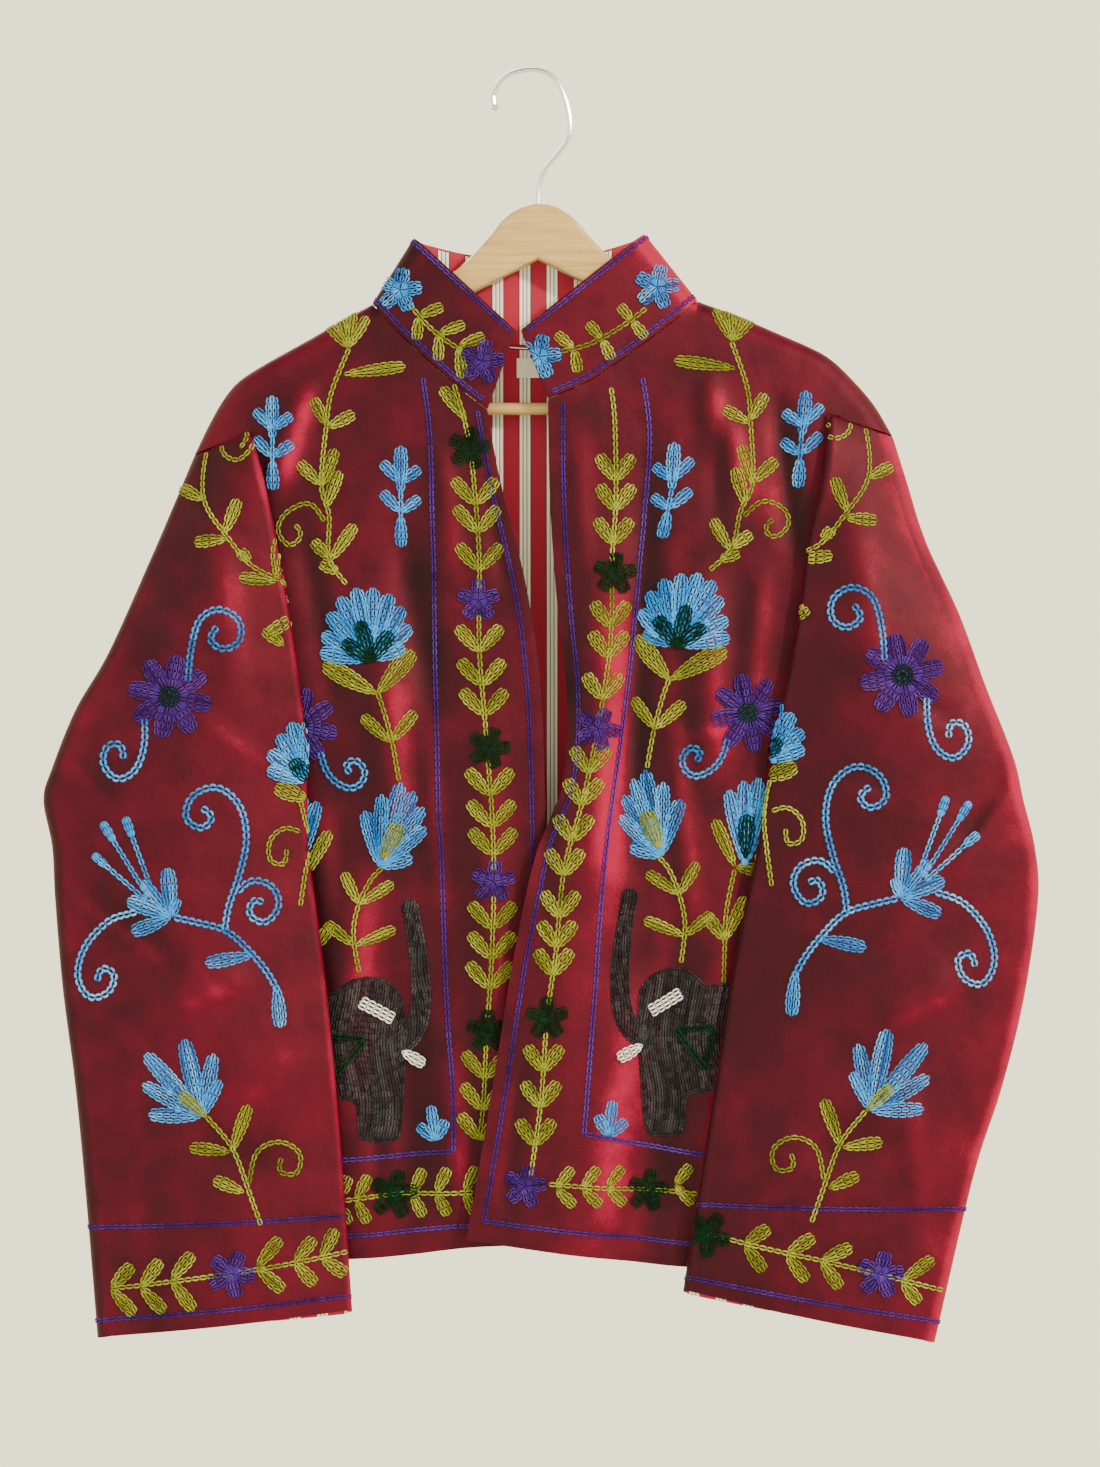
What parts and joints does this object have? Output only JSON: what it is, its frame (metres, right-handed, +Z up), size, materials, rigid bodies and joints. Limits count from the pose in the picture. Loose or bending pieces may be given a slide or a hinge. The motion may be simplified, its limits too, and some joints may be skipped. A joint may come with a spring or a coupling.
{
  "type": "suzani jacket on a clothes hanger",
  "caption": "Open-fronted velvet jacket with a stand collar, long sleeves, a striped lining and chain-stitch flowers, hanging on a wooden hanger with a wire hook.",
  "frame": {"origin": "inside of the hook's crown, where a rail or a wall hook carries the hanger", "axes": "+Z up, -Y towards the front of the jacket, +X to the right of a viewer in front"},
  "size_m": [0.6473, 0.0677, 0.8362],
  "materials": {
    "velvet": "crimson cotton velvet with a short soft nap",
    "striped_lining": "plain-woven cotton, crimson with groups of white stripes edged in black",
    "label_tape": "woven white tape, bare",
    "thread_blue": "light blue wool thread in chain stitch",
    "thread_lime": "olive lime wool thread in chain stitch",
    "thread_purple": "purple wool thread in chain stitch",
    "thread_green": "dark green wool thread in chain stitch",
    "thread_grey": "charcoal wool thread in chain stitch",
    "thread_white": "white wool thread in chain stitch",
    "wood": "pale varnished beech",
    "wire": "zinc-plated steel wire"
  },
  "bodies": {
    "root": {"front_left": "velvet", "front_right": "velvet", "back": "velvet", "collar": "velvet", "sleeve_left": "velvet", "sleeve_right": "velvet", "back_lining": "striped_lining", "collar_lining": "striped_lining", "cuff_lining_left": "striped_lining", "cuff_lining_right": "striped_lining", "label": "label_tape", "hanger_body": "wood", "trouser_bar": "wood", "hook": "wire"}
  },
  "joints": []
}
